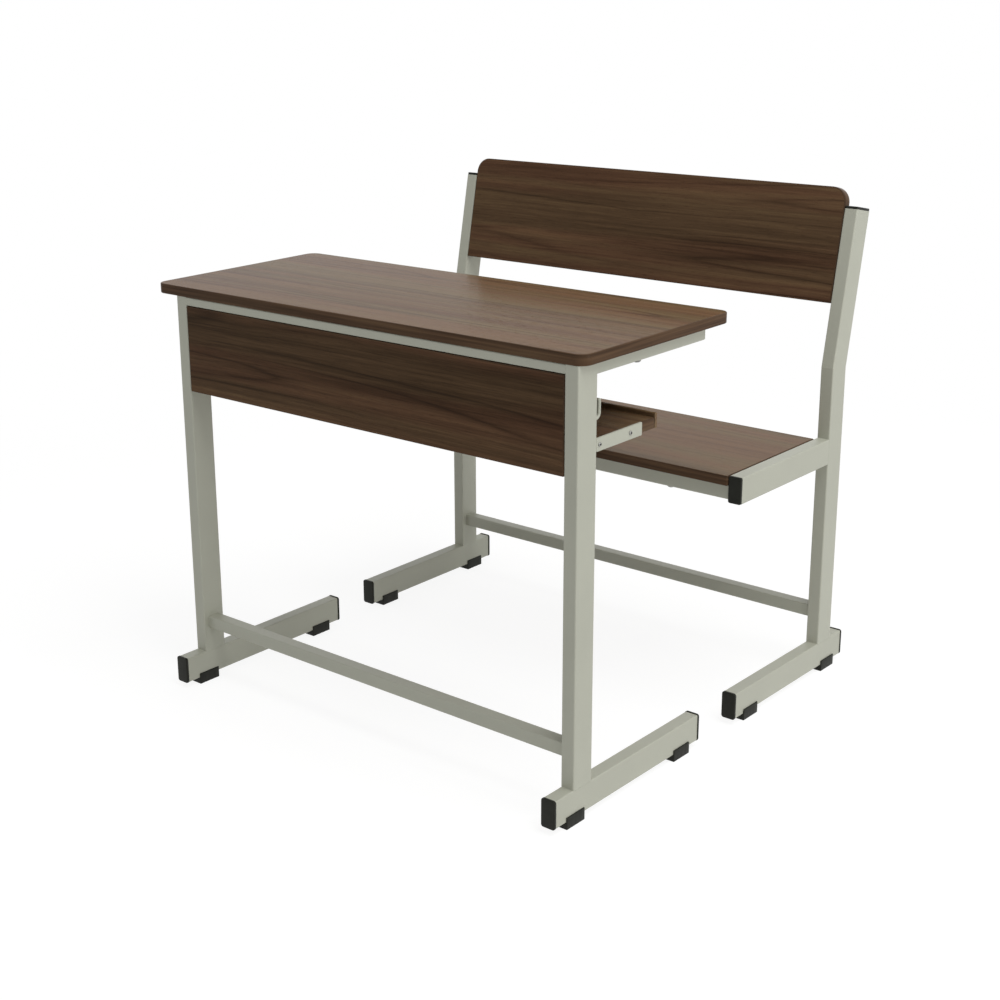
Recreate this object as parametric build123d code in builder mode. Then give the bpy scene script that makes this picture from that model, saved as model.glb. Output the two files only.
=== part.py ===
from build123d import *
import os
from collections import namedtuple
from math import cos, radians, sin, tan

# School desk with a book shelf, and the bench that goes with it, in millimetres.
# X runs along the desk's width, the pupils sit at +Y and face -Y, and Z is up.
# The origin lies on the floor, under the middle of the pair.

# Overall sizes
desk_height = 760
seat_height = 462
frame_width = 890
bench_width = 902
bench_gap = 105

# Boards
board_thickness = 18
edge_band = 2
board_gap = 0.5

# Desk top
top_depth = 400
top_overhang_left = 54
top_overhang_right = 10.5
top_overhang_front = 1
top_corner_radius = 20

# Modesty panel
panel_height = 156.5
panel_drop = 1

# Book shelf, measured down from the underside of the desk top
book_space = 120
shelf_depth = 187
shelf_front_gap = 1
shelf_lip_thickness = 6
shelf_lip_height = 25
shelf_lip_round = 1.5

# Bench boards
seat_depth = 297
seat_overhang = 7.5
back_height = 206.5
back_start = 115.5
back_corner_radius = 28

# Tubes
tube_width = 25
tube_depth = 48
tube_wall = 1.5
tube_bend = 1
bar_size = 21
stretcher_size = 24
front_rail_height = 15
front_rail_depth = 35
seat_rail_size = 26

# Desk frame
desk_runner_length = 401.5
desk_toe = 45.5
desk_stretcher_rise = 45
desk_arm_reach = 293.5

# Bench frame
bench_runner_length = 379.5
bench_heel = 40
bench_stretcher_rise = 45.5
seat_arm_length = 299.5
seat_rear_rail_inset = 7
kink_rise = 132
back_lean = 11.1
back_tube_length = 285.5

# Flat brackets
bracket_thickness = 3
shelf_bar_length = 118
shelf_bar_height = 21
shelf_bar_corner = 1.5
tab_width = 40
tab_corner = 4
panel_tab_height = 70
panel_tab_drop = 16
back_tab_height = 140
back_tab_rise = 30

# Bag hooks
hook_diameter = 6
hook_rise = 27.5
hook_reach = 21
hook_height = 27
hook_bend = 8

# End caps
cap_head = 5
cap_lip = 1
cap_round = 1.2
cap_plug_length = 14
cap_plug_wall = 1.6
cap_clearance = 0.2

# Glides
glide_sole = 12
glide_lip = 9
glide_side = 2.2
glide_length = 47
glide_inset = 50
glide_round = 1
glide_peg_diameter = 8
glide_peg_height = 6

# Screws
truss_head = 14
truss_dome = 5.5
truss_shank = 4.6
truss_bite = 12
pan_head = 7
pan_dome = 2.6
pan_shank = 3.6
pan_bite = 12
head_rim = 0.5
screw_clearance = 0.1
top_screw_spread = 400
front_rail_screw_inset = 25.5
arm_screw_reach = 118
seat_screw_spread = 300
shelf_screw_inset = 7
shelf_screw_spread = 80
panel_screw_spread = 40
back_screw_spread = 92

# Allowance that carries every cut past the face it starts from
overrun = 1

# Shares of the sizes that they follow
edge_round_share = 0.9
recess_span_share = 0.52
recess_width_share = 0.14
recess_depth_share = 0.6

sides = {"left": -1, "right": 1}
ends = {"front": -1, "rear": 1}
ScrewKind = namedtuple("ScrewKind", "head dome shank bite")
truss = ScrewKind(truss_head, truss_dome, truss_shank, truss_bite)
pan = ScrewKind(pan_head, pan_dome, pan_shank, pan_bite)
tube_corner = tube_bend + tube_wall
peg_hole_radius = glide_peg_diameter / 2 + screw_clearance

# Places across the width
left_reach = frame_width / 2 + top_overhang_left
right_reach = max(frame_width / 2 + top_overhang_right, bench_width / 2 + glide_side)
middle_x = (left_reach - right_reach) / 2
leg_x = (frame_width - tube_width) / 2
leg_inner_x = frame_width / 2 - tube_width
upright_x = (bench_width - tube_width) / 2
upright_inner_x = bench_width / 2 - tube_width

# The slope of the bench's back, and how far its caps reach behind the uprights' front
slope = Vector(0, sin(radians(back_lean)), cos(radians(back_lean)))
slope_front = Vector(0, -cos(radians(back_lean)), sin(radians(back_lean)))
mitre_drop = tube_depth / 2 * tan(radians(back_lean) / 2)
cap_along = back_tube_length + cap_head - cap_round
cap_across = tube_depth - cap_round
cap_reach = cap_along * slope.Y + cap_across * slope.Z + cap_round
heel_reach = tube_depth + bench_heel + cap_head

# Places from front to rear
bench_toe = bench_runner_length - bench_heel - tube_depth
desk_span = desk_runner_length + 2 * cap_head
bench_span = cap_head + bench_toe + max(cap_reach, heel_reach)
overall_depth = desk_span + bench_gap + bench_span
desk_runner_y = cap_head - overall_depth / 2
leg_front_y = desk_runner_y + desk_toe
leg_y = leg_front_y + tube_depth / 2
leg_rear_y = leg_front_y + tube_depth
panel_rear_y = leg_front_y + board_thickness
shelf_front_y = panel_rear_y + shelf_front_gap
desk_rear_rail_y = leg_rear_y + desk_arm_reach - bar_size / 2
bench_runner_y = desk_runner_y + desk_span + bench_gap
upright_front_y = bench_runner_y + bench_toe
upright_y = upright_front_y + tube_depth / 2
seat_arm_y = upright_front_y - seat_arm_length
seat_front_y = seat_arm_y - seat_overhang
seat_rear_y = seat_front_y + seat_depth
seat_front_rail_y = seat_arm_y + seat_rail_size / 2
seat_rear_rail_y = seat_rear_y - seat_rear_rail_inset - seat_rail_size / 2

# Heights
runner_z = glide_sole + tube_depth / 2
runner_top_z = glide_sole + tube_depth
top_bottom_z = desk_height - board_thickness
front_rail_z = top_bottom_z - front_rail_height / 2
front_rail_bottom_z = top_bottom_z - front_rail_height
arm_z = top_bottom_z - bar_size / 2
arm_bottom_z = top_bottom_z - bar_size
panel_top_z = front_rail_bottom_z - panel_drop
shelf_top_z = top_bottom_z - book_space
shelf_z = shelf_top_z - board_thickness / 2
hook_z = shelf_top_z + hook_rise
desk_stretcher_z = runner_top_z + desk_stretcher_rise + stretcher_size / 2
bench_stretcher_z = runner_top_z + bench_stretcher_rise + stretcher_size / 2
seat_bottom_z = seat_height - board_thickness
seat_rail_z = seat_bottom_z - seat_rail_size / 2
seat_rail_bottom_z = seat_bottom_z - seat_rail_size
kink_z = seat_height + kink_rise


def along_x(x, y, z):
    """Plane across a piece that runs along +X."""
    return Plane(origin=(x, y, z), x_dir=(0, 1, 0), z_dir=(1, 0, 0))


def along_y(x, y, z, way=1):
    """Plane across a piece that runs along +Y, or along -Y where the way is -1."""
    return Plane(origin=(x, y, z), x_dir=(1, 0, 0), z_dir=(0, way, 0))


def upwards(x, y, z):
    """Level plane that faces up."""
    return Plane(origin=(x, y, z))


def slope_plane(rise, setback=0):
    """Plane on the sloping face of the back, a way up from the kink and behind the uprights' front."""
    foot = Vector(middle_x, upright_front_y, kink_z)
    return Plane(origin=foot + slope * rise - slope_front * setback, x_dir=(1, 0, 0), z_dir=slope_front)


def slope_point(x, rise, setback):
    """Plane like the sloping one, at a distance from the middle of the width."""
    plane = slope_plane(rise, setback)
    return Plane(origin=plane.origin + Vector(x, 0, 0), x_dir=(1, 0, 0), z_dir=slope_front)


def write(piece, label):
    """Label a finished piece and write it to its own file."""
    piece.part.label = label
    export_step(piece.part, f"parts/{label}.step")


def tube_profile(width, height):
    """Hollow section with rounded corners, drawn in the open sketch."""
    RectangleRounded(width, height, tube_corner)
    inner_width = width - 2 * tube_wall
    inner_height = height - 2 * tube_wall
    RectangleRounded(inner_width, inner_height, tube_bend, mode=Mode.SUBTRACT)


def bore(places, kind, grip):
    """Clearance holes for screws of one kind, cut from the open part at their seats."""
    radius = kind.shank / 2 + screw_clearance
    length = grip + kind.bite + 2 * overrun
    starts = [place.offset(-overrun) for place in places]
    with Locations(*starts):
        Cylinder(radius, length, align=(Align.CENTER, Align.CENTER, Align.MIN), mode=Mode.SUBTRACT)


def tube(label, plane, width, height, length, bores=()):
    """Straight tube with its screw holes."""
    with BuildPart() as piece:
        with BuildSketch(plane):
            tube_profile(width, height)
        extrude(amount=length)
        for places, kind, grip in bores:
            bore(places, kind, grip)
    write(piece, label)


# Screws

def screw(kind, grip):
    """One cross-head screw that points along +Z, with its seat at the origin."""
    head_radius = kind.head / 2
    shank_radius = kind.shank / 2
    length = grip + kind.bite
    span = kind.head * recess_span_share
    slit = kind.head * recess_width_share
    depth = 2 * kind.dome * recess_depth_share
    with BuildPart() as piece:
        with BuildSketch(Plane.XZ):
            with BuildLine():
                TangentArc((0, -kind.dome), (head_radius, -head_rim), tangent=(1, 0))
                Polyline(
                    (head_radius, -head_rim),
                    (head_radius, 0),
                    (shank_radius, 0),
                    (shank_radius, length - shank_radius),
                    (0, length),
                    (0, -kind.dome),
                )
            make_face()
        revolve(axis=Axis.Z)
        with Locations((0, 0, -kind.dome)):
            Box(span, slit, depth, mode=Mode.SUBTRACT)
            Box(slit, span, depth, mode=Mode.SUBTRACT)
    return piece.part


def screws(label, groups):
    """A set of separate screws, from their places, their kind and what each clamps."""
    with BuildPart() as piece:
        for places, kind, grip in groups:
            shape = screw(kind, grip)
            with Locations(*places):
                add(shape)
    write(piece, label)


def upright_screw(x, y, z):
    """Seat of a screw driven upwards."""
    return Plane(origin=(middle_x + x, y, z), z_dir=(0, 0, 1))


arm_screws = {
    name: [upright_screw(side * leg_x, leg_rear_y + arm_screw_reach, arm_bottom_z)]
    for name, side in sides.items()
}
rear_rail_screws = [
    upright_screw(side * top_screw_spread / 2, desk_rear_rail_y, arm_bottom_z)
    for side in sides.values()
]
front_rail_screws = [
    upright_screw(side * top_screw_spread / 2, leg_front_y + front_rail_screw_inset, front_rail_bottom_z)
    for side in sides.values()
]
seat_screws = {
    rail_y: [upright_screw(step * seat_screw_spread, rail_y, seat_rail_bottom_z) for step in (-1, 0, 1)]
    for rail_y in (seat_front_rail_y, seat_rear_rail_y)
}
shelf_screws = {
    name: [
        Plane(
            origin=(middle_x + side * frame_width / 2, leg_rear_y + shelf_screw_inset + reach, shelf_z),
            z_dir=(-side, 0, 0),
        )
        for reach in (0, shelf_screw_spread)
    ]
    for name, side in sides.items()
}
panel_tab_z = panel_top_z - panel_tab_drop - panel_tab_height / 2
panel_tab_rear_y = panel_rear_y + bracket_thickness
panel_screws = {
    name: [
        Plane(
            origin=(
                middle_x + side * (leg_inner_x - tab_width / 2),
                panel_tab_rear_y,
                panel_tab_z + end * panel_screw_spread / 2,
            ),
            z_dir=(0, -1, 0),
        )
        for end in ends.values()
    ]
    for name, side in sides.items()
}
back_tab_start = back_start + back_tab_rise
back_screws = {
    name: [
        slope_point(
            side * (upright_inner_x - tab_width / 2),
            back_tab_start + back_tab_height / 2 + end * back_screw_spread / 2,
            board_thickness + bracket_thickness,
        )
        for end in ends.values()
    ]
    for name, side in sides.items()
}


# Edged boards

def edged_board(name, plane, outline, bores=()):
    """Laminated core and the rounded edging round it, from an outline in the plane of its lower face."""
    with BuildPart() as core:
        with BuildSketch(plane):
            add(outline)
            offset(amount=-edge_band, kind=Kind.INTERSECTION, mode=Mode.REPLACE)
        extrude(amount=board_thickness)
        for places, kind, grip in bores:
            bore(places, kind, grip)
    write(core, name)
    with BuildPart() as edging:
        with BuildSketch(plane):
            add(outline)
        extrude(amount=board_thickness)
        flats = edging.faces().filter_by(Axis(plane.origin, plane.z_dir))
        fillet(flats.edges(), edge_band * edge_round_share)
        with BuildSketch(plane):
            add(outline)
            offset(amount=-edge_band, kind=Kind.INTERSECTION, mode=Mode.REPLACE)
        extrude(amount=board_thickness, mode=Mode.SUBTRACT)
        for places, kind, grip in bores:
            bore(places, kind, grip)
    write(edging, f"{name}_edging")


def desk_top():
    """Top with rounded corners, which reaches further past the frame on the left."""
    width = frame_width + top_overhang_left + top_overhang_right
    x = middle_x + (top_overhang_right - top_overhang_left) / 2
    y = leg_front_y - top_overhang_front + top_depth / 2
    with BuildSketch() as outline:
        RectangleRounded(width, top_depth, top_corner_radius)
    groups = [(arm_screws[name], truss, bar_size) for name in sides]
    groups.append((rear_rail_screws, truss, bar_size))
    groups.append((front_rail_screws, truss, front_rail_height))
    edged_board("desk_top", upwards(x, y, top_bottom_z), outline.sketch, groups)


def modesty_panel():
    """Upright board between the legs, flush with their front."""
    width = 2 * (leg_inner_x - board_gap)
    with BuildSketch() as outline:
        Rectangle(width, panel_height)
    plane = Plane(
        origin=(middle_x, panel_rear_y, panel_top_z - panel_height / 2),
        x_dir=(1, 0, 0),
        z_dir=(0, -1, 0),
    )
    groups = [(panel_screws[name], pan, bracket_thickness) for name in sides]
    edged_board("modesty_panel", plane, outline.sketch, groups)


def book_shelf():
    """Shelf between the bars, notched round the legs."""
    half_width = frame_width / 2 - bracket_thickness - board_gap
    notch_x = leg_inner_x - board_gap
    notch_depth = leg_rear_y + board_gap - shelf_front_y
    with BuildSketch() as outline:
        Rectangle(2 * half_width, shelf_depth, align=(Align.CENTER, Align.MIN))
        for side in sides.values():
            with Locations((side * (notch_x + half_width) / 2, 0)):
                Rectangle(
                    half_width - notch_x,
                    notch_depth,
                    align=(Align.CENTER, Align.MIN),
                    mode=Mode.SUBTRACT,
                )
    plane = upwards(middle_x, shelf_front_y, shelf_top_z - board_thickness)
    groups = [(shelf_screws[name], pan, bracket_thickness) for name in sides]
    edged_board("book_shelf", plane, outline.sketch, groups)


def shelf_lip():
    """Upright strip along the rear of the shelf, flush with its underside."""
    half_width = frame_width / 2 - bracket_thickness - board_gap
    with BuildPart() as piece:
        with BuildSketch(upwards(middle_x, shelf_front_y + shelf_depth, shelf_top_z - board_thickness)):
            Rectangle(2 * half_width, shelf_lip_thickness, align=(Align.CENTER, Align.MIN))
        extrude(amount=shelf_lip_height)
        fillet(piece.edges().filter_by(Axis.X), shelf_lip_round)
    write(piece, "book_shelf_lip")


def seat_board():
    """Seat between the seat arms."""
    with BuildSketch() as outline:
        Rectangle(2 * (upright_inner_x - board_gap), seat_depth, align=(Align.CENTER, Align.MIN))
    plane = upwards(middle_x, seat_front_y, seat_bottom_z)
    groups = [(places, truss, seat_rail_size) for places in seat_screws.values()]
    edged_board("seat_board", plane, outline.sketch, groups)


def backrest():
    """Sloping board between the uprights, with its two upper corners rounded."""
    with BuildSketch() as outline:
        Rectangle(2 * (upright_inner_x - board_gap), back_height, align=(Align.CENTER, Align.MIN))
        fillet(outline.vertices().group_by(Axis.Y)[-1], back_corner_radius)
    groups = [(back_screws[name], pan, bracket_thickness) for name in sides]
    edged_board("backrest", slope_plane(back_start, board_thickness), outline.sketch, groups)


# Desk frame

def desk_leg(name, side):
    """Upright tube from the runner to the underside of the top."""
    x = middle_x + side * leg_x
    plane = upwards(x, leg_y, runner_top_z)
    tube(f"desk_leg_{name}", plane, tube_width, tube_depth, top_bottom_z - runner_top_z)


def runner(label, x, y, length):
    """Floor tube with a hole near each end for the peg of its glide."""
    with BuildPart() as piece:
        with BuildSketch(along_y(x, y, runner_z)):
            tube_profile(tube_width, tube_depth)
        extrude(amount=length)
        with Locations((x, y + glide_inset, glide_sole), (x, y + length - glide_inset, glide_sole)):
            Cylinder(peg_hole_radius, 2 * tube_wall + overrun, mode=Mode.SUBTRACT)
    write(piece, label)


def mitre_plane(side):
    """Slanted plane where a desk arm meets the rear rail."""
    x = middle_x + side * leg_x
    return Plane(origin=(x, desk_rear_rail_y, arm_z), z_dir=(-side, 1, 0))


def desk_arm(name, side):
    """Tube under the top, from the leg back to the mitred corner."""
    x = middle_x + side * leg_x
    with BuildPart() as piece:
        with BuildSketch(along_y(x, leg_rear_y, arm_z)):
            tube_profile(bar_size, bar_size)
        extrude(amount=desk_arm_reach)
        split(bisect_by=mitre_plane(side), keep=Keep.BOTTOM)
        bore(arm_screws[name], truss, bar_size)
    write(piece, f"desk_arm_{name}")


def desk_rear_rail():
    """Tube across the rear of the desk frame, mitred at both ends."""
    half_length = leg_x + bar_size / 2
    with BuildPart() as piece:
        with BuildSketch(along_x(middle_x - half_length, desk_rear_rail_y, arm_z)):
            tube_profile(bar_size, bar_size)
        extrude(amount=2 * half_length)
        for side in sides.values():
            split(bisect_by=mitre_plane(side), keep=Keep.TOP)
        bore(rear_rail_screws, truss, bar_size)
    write(piece, "desk_rear_rail")


def desk_front_rail():
    """Low, deep tube between the legs, flush with their front."""
    plane = along_x(middle_x - leg_inner_x, leg_front_y + front_rail_depth / 2, front_rail_z)
    groups = [(front_rail_screws, truss, front_rail_height)]
    tube("desk_front_rail", plane, front_rail_depth, front_rail_height, 2 * leg_inner_x, groups)


def desk_stretcher():
    """Tube between the legs, a little above the runners."""
    plane = along_x(middle_x - leg_inner_x, leg_y, desk_stretcher_z)
    tube("desk_stretcher", plane, stretcher_size, stretcher_size, 2 * leg_inner_x)


def shelf_bar(name, side):
    """Flat bar behind a leg that carries one end of the shelf."""
    x = middle_x + side * (frame_width / 2 - bracket_thickness / 2)
    with BuildPart() as piece:
        with BuildSketch(along_x(x, leg_rear_y, shelf_z)) as outline:
            Rectangle(shelf_bar_length, shelf_bar_height, align=(Align.MIN, Align.CENTER))
            fillet(outline.vertices().group_by(Axis.X)[-1], shelf_bar_corner)
        extrude(amount=bracket_thickness / 2, both=True)
        bore(shelf_screws[name], pan, bracket_thickness)
    write(piece, f"shelf_bar_{name}")


def tab(label, plane, side, height, places):
    """Flat tab welded to the inner face of a tube, with its outer corners rounded."""
    with BuildPart() as piece:
        with BuildSketch(plane) as outline:
            Rectangle(tab_width, height)
            fillet(outline.vertices().group_by(Axis.X)[0 if side > 0 else -1], tab_corner)
        extrude(amount=bracket_thickness)
        bore(places, pan, bracket_thickness)
    write(piece, label)


def panel_tab(name, side):
    """Tab behind the modesty panel."""
    x = middle_x + side * (leg_inner_x - tab_width / 2)
    plane = Plane(origin=(x, panel_tab_rear_y, panel_tab_z), x_dir=(1, 0, 0), z_dir=(0, -1, 0))
    tab(f"panel_tab_{name}", plane, side, panel_tab_height, panel_screws[name])


def bag_hook(name, side):
    """Bent rod behind a leg, with a rounded tip."""
    x = middle_x + side * leg_x
    tip = (x, leg_rear_y + hook_reach, hook_z + hook_height)
    with BuildPart() as piece:
        with BuildLine():
            FilletPolyline(
                (x, leg_rear_y, hook_z),
                (x, leg_rear_y + hook_reach, hook_z),
                tip,
                radius=hook_bend,
            )
        with BuildSketch(along_y(x, leg_rear_y, hook_z)):
            Circle(hook_diameter / 2)
        sweep()
        with Locations(tip):
            Sphere(hook_diameter / 2)
    write(piece, f"bag_hook_{name}")


# Bench frame

def bench_upright(name, side):
    """Tube that stands on the runner and leans back above the kink."""
    x = middle_x + side * upright_x
    kink = Vector(x, upright_y, kink_z - mitre_drop)
    with BuildPart() as piece:
        with BuildLine():
            Polyline((x, upright_y, runner_top_z), kink, kink + slope * (back_tube_length - mitre_drop))
        with BuildSketch(upwards(x, upright_y, runner_top_z)):
            tube_profile(tube_width, tube_depth)
        sweep(transition=Transition.RIGHT)
    write(piece, f"bench_upright_{name}")


def seat_arm(name, side):
    """Tube beside the seat, from the upright forwards."""
    x = middle_x + side * upright_x
    plane = along_y(x, seat_arm_y, seat_height - tube_depth / 2)
    tube(f"seat_arm_{name}", plane, tube_width, tube_depth, seat_arm_length)


def seat_rail(label, y):
    """Tube across the bench, under the seat."""
    plane = along_x(middle_x - upright_inner_x, y, seat_rail_z)
    groups = [(seat_screws[y], truss, seat_rail_size)]
    tube(label, plane, seat_rail_size, seat_rail_size, 2 * upright_inner_x, groups)


def bench_stretcher():
    """Tube between the uprights, a little above the runners."""
    plane = along_x(middle_x - upright_inner_x, upright_y, bench_stretcher_z)
    tube("bench_stretcher", plane, stretcher_size, stretcher_size, 2 * upright_inner_x)


def backrest_tab(name, side):
    """Tab behind the backrest."""
    x = side * (upright_inner_x - tab_width / 2)
    plane = slope_point(x, back_tab_start + back_tab_height / 2, board_thickness + bracket_thickness)
    tab(f"backrest_tab_{name}", plane, side, back_tab_height, back_screws[name])


# Plastic parts

def end_cap(plane, lip=0):
    """Cap with a hollow plug, drawn at the end of a tube and facing out of it."""
    plug_width = tube_width - 2 * (tube_wall + cap_clearance)
    plug_height = tube_depth - 2 * (tube_wall + cap_clearance)
    with BuildPart() as piece:
        with BuildSketch(plane):
            RectangleRounded(tube_width + 2 * lip, tube_depth + 2 * lip, tube_corner + lip)
        extrude(amount=cap_head)
        crown = piece.faces().sort_by(Axis(plane.origin, plane.z_dir))[-1]
        fillet(crown.edges(), cap_round)
        with BuildSketch(plane):
            RectangleRounded(plug_width, plug_height, tube_bend)
        extrude(amount=-cap_plug_length)
        with BuildSketch(plane):
            RectangleRounded(plug_width - 2 * cap_plug_wall, plug_height - 2 * cap_plug_wall, tube_bend)
        extrude(amount=-cap_plug_length, mode=Mode.SUBTRACT)
    return piece


def runner_caps(group, x, y, length, name):
    """Caps at both ends of a runner, a little larger than the tube all round."""
    for end_name, end in ends.items():
        end_y = y + (length if end > 0 else 0)
        cap = end_cap(along_y(x, end_y, runner_z, end), cap_lip)
        write(cap, f"{group}_cap_{end_name}_{name}")


def cap_pair(label, planes):
    """Two equal caps as one group of separate solids."""
    caps = [end_cap(plane).part for plane in planes]
    with BuildPart() as pair:
        for cap in caps:
            add(cap)
    write(pair, label)


def glide(label, x, y):
    """Saddle foot with a sole, two lips up the runner's sides and a peg into its underside."""
    width = tube_width + 2 * glide_side
    with BuildPart() as piece:
        with BuildSketch(upwards(x, y, 0)):
            Rectangle(width, glide_length)
        extrude(amount=glide_sole + glide_lip)
        fillet(piece.edges().filter_by(Axis.Z), glide_round)
        fillet(piece.faces().sort_by(Axis.Z)[0].edges(), glide_round)
        with BuildSketch(upwards(x, y, glide_sole)):
            Rectangle(tube_width, glide_length)
        extrude(amount=glide_lip, mode=Mode.SUBTRACT)
        with BuildSketch(upwards(x, y, glide_sole)):
            Circle(glide_peg_diameter / 2)
        extrude(amount=glide_peg_height)
    write(piece, label)


def runner_set(group, side_x, y, length):
    """Runner, caps and glides on both sides of the desk or the bench."""
    for name, side in sides.items():
        x = middle_x + side * side_x
        runner(f"{group}_runner_{name}", x, y, length)
        runner_caps(group, x, y, length, name)
        glide(f"{group}_glide_front_{name}", x, y + glide_inset)
        glide(f"{group}_glide_rear_{name}", x, y + length - glide_inset)


def seat_arm_caps():
    """Caps at the front of the two seat arms."""
    z = seat_height - tube_depth / 2
    planes = [along_y(middle_x + side * upright_x, seat_arm_y, z, -1) for side in sides.values()]
    cap_pair("seat_arm_caps", planes)


def upright_caps():
    """Caps on the sloping tops of the two uprights."""
    middle = slope_plane(back_tube_length, tube_depth / 2).origin
    planes = [
        Plane(origin=middle + Vector(side * upright_x, 0, 0), x_dir=(1, 0, 0), z_dir=slope)
        for side in sides.values()
    ]
    cap_pair("upright_caps", planes)


# The desk
desk_top()
modesty_panel()
book_shelf()
shelf_lip()
desk_front_rail()
desk_rear_rail()
desk_stretcher()
for side_name, side_way in sides.items():
    desk_leg(side_name, side_way)
    desk_arm(side_name, side_way)
    shelf_bar(side_name, side_way)
    panel_tab(side_name, side_way)
    bag_hook(side_name, side_way)
runner_set("desk", leg_x, desk_runner_y, desk_runner_length)
screws(
    "desk_top_screws",
    [(arm_screws[side_name], truss, bar_size) for side_name in sides]
    + [(rear_rail_screws, truss, bar_size), (front_rail_screws, truss, front_rail_height)],
)
screws("shelf_screws", [(shelf_screws[side_name], pan, bracket_thickness) for side_name in sides])
screws("panel_screws", [(panel_screws[side_name], pan, bracket_thickness) for side_name in sides])

# The bench
seat_board()
backrest()
seat_rail("seat_front_rail", seat_front_rail_y)
seat_rail("seat_rear_rail", seat_rear_rail_y)
bench_stretcher()
for side_name, side_way in sides.items():
    bench_upright(side_name, side_way)
    seat_arm(side_name, side_way)
    backrest_tab(side_name, side_way)
runner_set("bench", upright_x, bench_runner_y, bench_runner_length)
seat_arm_caps()
upright_caps()
screws("seat_screws", [(places, truss, seat_rail_size) for places in seat_screws.values()])
screws("backrest_screws", [(back_screws[side_name], pan, bracket_thickness) for side_name in sides])
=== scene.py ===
"""School desk with its bench: walnut laminate boards on a powder-coated tube frame, on a pale stage."""

from math import cos, pi, radians, sin

import bmesh
import bpy
import numpy
from bpy.props import FloatProperty, FloatVectorProperty, IntProperty, PointerProperty
from mathutils import Euler, Matrix, Vector


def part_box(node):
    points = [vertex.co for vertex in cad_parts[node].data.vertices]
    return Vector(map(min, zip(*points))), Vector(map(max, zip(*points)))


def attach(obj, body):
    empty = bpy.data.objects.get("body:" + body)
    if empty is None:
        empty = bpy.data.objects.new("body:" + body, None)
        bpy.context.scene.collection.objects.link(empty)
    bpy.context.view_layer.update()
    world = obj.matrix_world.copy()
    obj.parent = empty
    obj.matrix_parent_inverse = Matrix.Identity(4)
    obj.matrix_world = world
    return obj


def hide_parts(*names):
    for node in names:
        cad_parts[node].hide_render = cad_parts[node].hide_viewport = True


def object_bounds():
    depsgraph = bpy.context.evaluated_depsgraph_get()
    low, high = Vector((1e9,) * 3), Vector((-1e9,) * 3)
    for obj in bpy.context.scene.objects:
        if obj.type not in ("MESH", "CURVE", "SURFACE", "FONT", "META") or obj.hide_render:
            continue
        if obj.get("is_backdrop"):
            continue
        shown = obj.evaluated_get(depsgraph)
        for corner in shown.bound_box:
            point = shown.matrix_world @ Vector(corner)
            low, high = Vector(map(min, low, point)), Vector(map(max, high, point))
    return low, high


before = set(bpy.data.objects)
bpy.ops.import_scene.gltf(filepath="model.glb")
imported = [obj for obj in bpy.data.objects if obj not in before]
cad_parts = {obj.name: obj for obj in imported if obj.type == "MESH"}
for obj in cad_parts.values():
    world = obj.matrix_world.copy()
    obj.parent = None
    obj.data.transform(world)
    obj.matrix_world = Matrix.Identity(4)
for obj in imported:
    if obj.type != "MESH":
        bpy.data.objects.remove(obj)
cad_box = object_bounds()

bl_info = {
    "name": "School desk with bench",
    "version": (1, 0, 0),
    "blender": (4, 5, 0),
    "location": "3D View > Sidebar > School desk",
    "description": "Dresses a steel and laminate school desk and its bench, and sets their stage",
    "category": "Object",
}

# painted light and gloss of each board: the tone is lifted on the boards that face more light, most on the
# desk top and the seat, and lowered on the modesty panel, which lies in shade under the top
BOARD_PAINTED_LIGHT_AND_GLOSS = {
    "desk_top": (0.20, 0.013),
    "modesty_panel": (-0.015, 0.03),
    "book_shelf": (0.05, 0.09),
    "seat_board": (0.26, 0.028),
    "backrest": (0.03, 0.03),
}
BENCH_BOARDS = ("seat_board", "backrest")
# painted light of the shelf's lip: its tone is lifted, as its face lies in shade under the desk top, with
# its gloss
LIP_PAINTED_LIGHT_AND_GLOSS = (0.25, 0.09)

# where each board's grain starts in the pattern, and how far the next board's lies from it
GRAIN_START = (0.6, 0.2, 0.1)
GRAIN_STEP = (3.7, 1.31, 2.17)
LIP_START = (0.6, 7.3, 4.1)

SIDES = ("left", "right")
ENDS = ("front", "rear")
GROUPS = ("desk", "bench")
STEEL = ["desk_front_rail", "desk_rear_rail", "desk_stretcher"]
STEEL += ["seat_front_rail", "seat_rear_rail", "bench_stretcher"]
PAIRED_STEEL = ("desk_leg", "desk_runner", "desk_arm", "shelf_bar", "panel_tab", "bag_hook")
PAIRED_STEEL += ("bench_upright", "bench_runner", "seat_arm", "backrest_tab")
STEEL += [f"{piece}_{side}" for piece in PAIRED_STEEL for side in SIDES]

SHARP_ANGLE = radians(30)
BOARD_TONE = 0.52
EDGE_TONE = 0.48
EDGE_GLOSS = 0.03
TUBE_CORNER = 0.0025
TUBE_WALL = 0.0015
BEAD_STEP = 0.0012
BEAD_INSET = 1.6
THIN_CORNER = 0.0003


# Settings

def length(about, default):
    """Property for a length in metres."""
    return FloatProperty(description=about, default=default, min=0, unit="LENGTH", precision=5)


def angle(about, default):
    """Property for an angle, given in degrees."""
    return FloatProperty(description=about, default=radians(default), subtype="ANGLE")


def number(about, default):
    """Property for a plain number."""
    return FloatProperty(description=about, default=default, precision=3)


def count(about, default):
    """Property for a number of pieces."""
    return IntProperty(description=about, default=default, min=1)


def colour(about, default):
    """Property for a colour."""
    return FloatVectorProperty(description=about, default=default, min=0, max=1, size=3, subtype="COLOR")


def place(about, default):
    """Property for a point."""
    return FloatVectorProperty(description=about, default=default, size=3, unit="LENGTH")


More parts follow.
